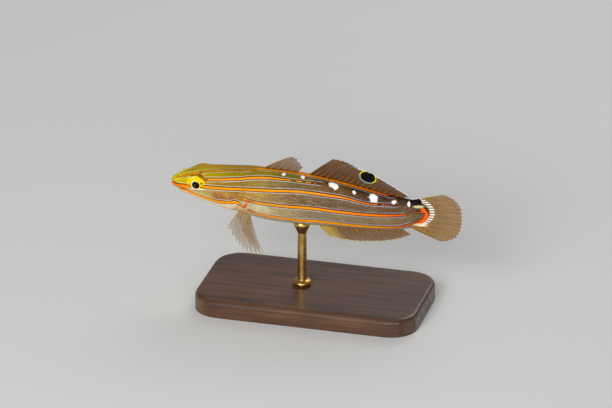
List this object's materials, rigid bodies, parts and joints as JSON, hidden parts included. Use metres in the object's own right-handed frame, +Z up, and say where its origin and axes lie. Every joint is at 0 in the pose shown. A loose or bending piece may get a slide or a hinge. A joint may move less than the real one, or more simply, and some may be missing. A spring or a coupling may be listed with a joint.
{
  "type": "rainfords goby",
  "caption": "Life-size display model of a slender striped reef goby, hovering level with its fins open, held by a rod on a small wooden base.",
  "frame": {"origin": "centre of the underside of the stand's base, on the surface that the stand rests on", "axes": "+Z up, the fish faces -X and its left side faces -Y"},
  "size_m": [0.065, 0.027, 0.0347],
  "materials": {
    "skin": "satin, as wet skin",
    "eye": "polished",
    "fin": "satin, thin and see-through",
    "stand_wood": "satin varnish",
    "stand_brass": "polished"
  },
  "bodies": {
    "root": {"head": "skin", "lower_jaw": "skin", "trunk": "skin", "tail": "skin", "eye_left": "eye", "eye_right": "eye", "first_dorsal_fin": "fin", "second_dorsal_fin": "fin", "anal_fin": "fin", "tail_fin": "fin", "pectoral_fin_left": "fin", "pectoral_fin_right": "fin", "pelvic_fin_left": "fin", "pelvic_fin_right": "fin", "stand_base": "stand_wood", "stand_rod": "stand_brass"}
  },
  "joints": []
}
